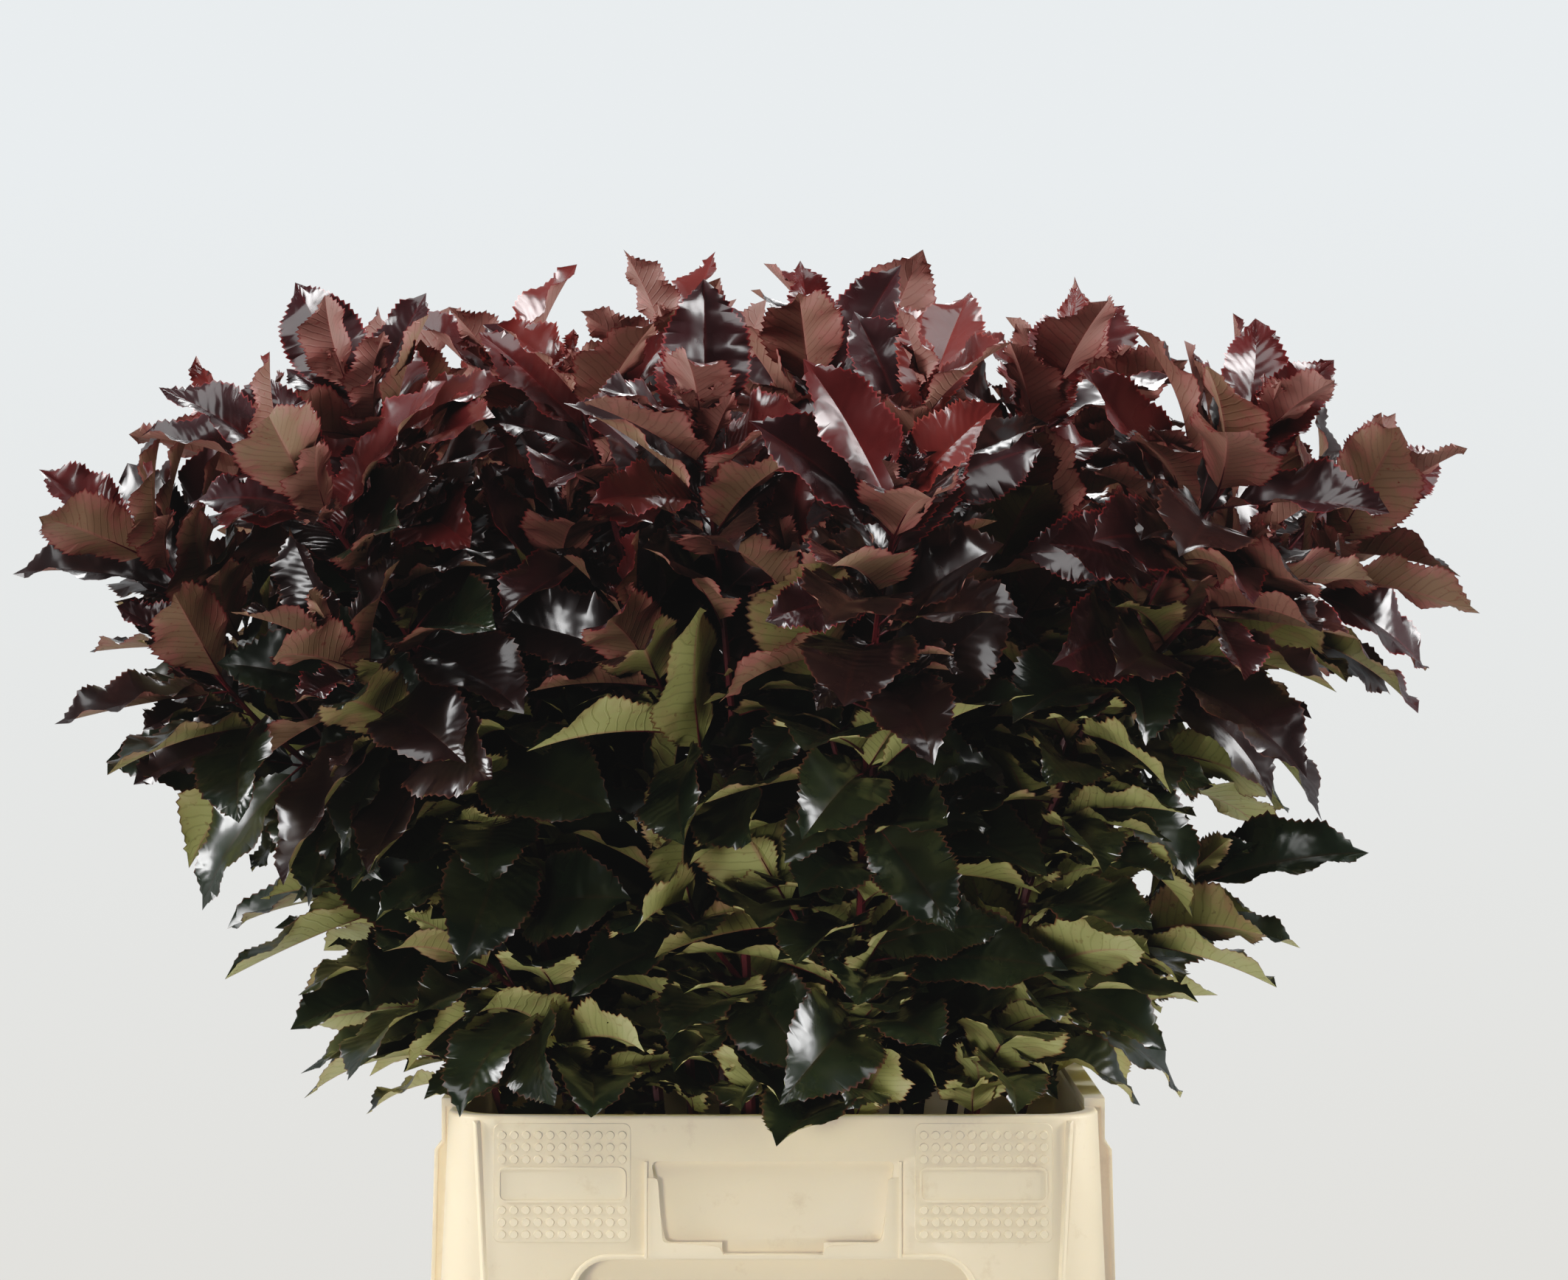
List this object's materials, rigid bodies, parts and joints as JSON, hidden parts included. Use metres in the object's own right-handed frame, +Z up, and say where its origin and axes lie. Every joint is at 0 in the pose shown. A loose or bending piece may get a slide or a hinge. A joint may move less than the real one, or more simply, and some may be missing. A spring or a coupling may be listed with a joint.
{
  "type": "cut red tip photinia stems in a flower bucket",
  "caption": "Dense bunch of cut red tip photinia stems with glossy dark red toothed leaves, standing in a cream rectangular plastic flower bucket.",
  "frame": {"origin": "centre of the bucket's flat underside", "axes": "+X along the bucket's long side, -Y towards the long side seen in front, +Z up"},
  "size_m": [0.898, 0.7856, 0.8336],
  "materials": {
    "bucket_plastic": "satin cream, lightly scuffed",
    "bark": "smooth dark red bark",
    "leaves": "glossy dark red and green leaves"
  },
  "bodies": {
    "root": {"bucket": "bucket_plastic", "skirt_front": "bucket_plastic", "skirt_back": "bucket_plastic", "skirt_left": "bucket_plastic", "skirt_right": "bucket_plastic", "label_holder_front": "bucket_plastic", "label_holder_back": "bucket_plastic", "stem_01": "bark", "stem_02": "bark", "stem_03": "bark", "stem_04": "bark", "stem_05": "bark", "stem_06": "bark", "stem_07": "bark", "stem_08": "bark", "stem_09": "bark", "stem_10": "bark", "stem_11": "bark", "stem_12": "bark", "stem_13": "bark", "stem_14": "bark", "stem_15": "bark", "stem_16": "bark", "stem_17": "bark", "stem_18": "bark", "stem_19": "bark", "stem_20": "bark", "stem_21": "bark", "stem_22": "bark", "stem_23": "bark", "stem_24": "bark", "stem_25": "bark", "stem_26": "bark", "foliage_01": "leaves", "foliage_02": "leaves", "foliage_03": "leaves", "foliage_04": "leaves", "foliage_05": "leaves", "foliage_06": "leaves", "foliage_07": "leaves", "foliage_08": "leaves", "foliage_09": "leaves", "foliage_10": "leaves", "foliage_11": "leaves", "foliage_12": "leaves", "foliage_13": "leaves", "foliage_14": "leaves", "foliage_15": "leaves", "foliage_16": "leaves", "foliage_17": "leaves", "foliage_18": "leaves", "foliage_19": "leaves", "foliage_20": "leaves", "foliage_21": "leaves", "foliage_22": "leaves", "foliage_23": "leaves", "foliage_24": "leaves", "foliage_25": "leaves", "foliage_26": "leaves"}
  },
  "joints": []
}
